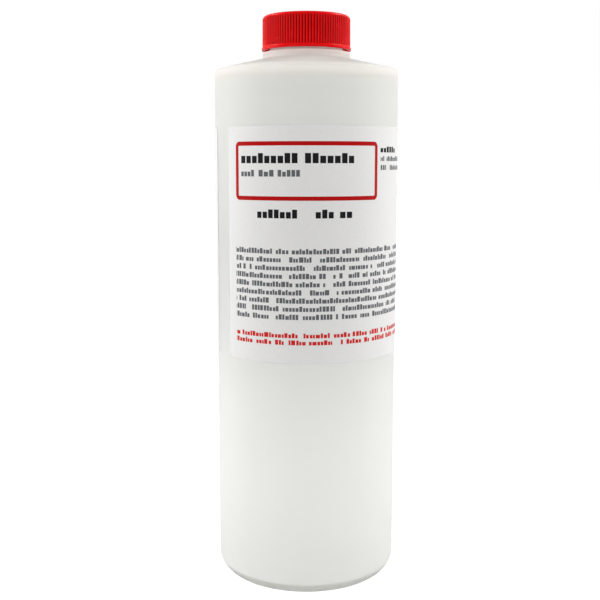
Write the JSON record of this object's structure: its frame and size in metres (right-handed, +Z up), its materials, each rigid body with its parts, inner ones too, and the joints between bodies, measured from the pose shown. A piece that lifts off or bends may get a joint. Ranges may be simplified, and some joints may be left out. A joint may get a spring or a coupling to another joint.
{
  "type": "laboratory storage bottle",
  "caption": "Round translucent plastic storage bottle with a ribbed red screw cap, a sealing liner, a wraparound paper label and clear contents.",
  "frame": {"origin": "middle of the surface that the bottle stands on, on the bottle's axis", "axes": "+Z up along the bottle's axis, -Y towards the front of the label, +X to the right seen from the front"},
  "size_m": [0.0628, 0.0628, 0.1938],
  "materials": {
    "natural_polyethylene": "translucent, unpigmented, softly glossy blown surface",
    "red_polypropylene": "moulded, semi-gloss",
    "foam_liner": "smooth skin on foam",
    "label_paper": "semi-gloss coated paper",
    "clear_liquid": "clear, colourless liquid"
  },
  "bodies": {
    "vessel": {"bottle": "natural_polyethylene", "label": "label_paper", "liquid_fill": "clear_liquid"},
    "seal": {"cap_liner": "foam_liner"},
    "closure": {"cap": "red_polypropylene"}
  },
  "joints": [
    {"name": "cap_rise", "type": "slide", "parent": "vessel", "child": "seal", "axis": [0, 0, 1], "range_m": [0, 0.0127]},
    {"name": "cap_turn", "type": "hinge", "parent": "seal", "child": "closure", "pos_m": [0, 0, 0.1881], "axis": [0, 0, 1], "range_deg": [0, 1080]}
  ],
  "couplings": [
    {"joint": "cap_rise", "follows": "cap_turn", "m_per_rad": 0.00067375}
  ]
}
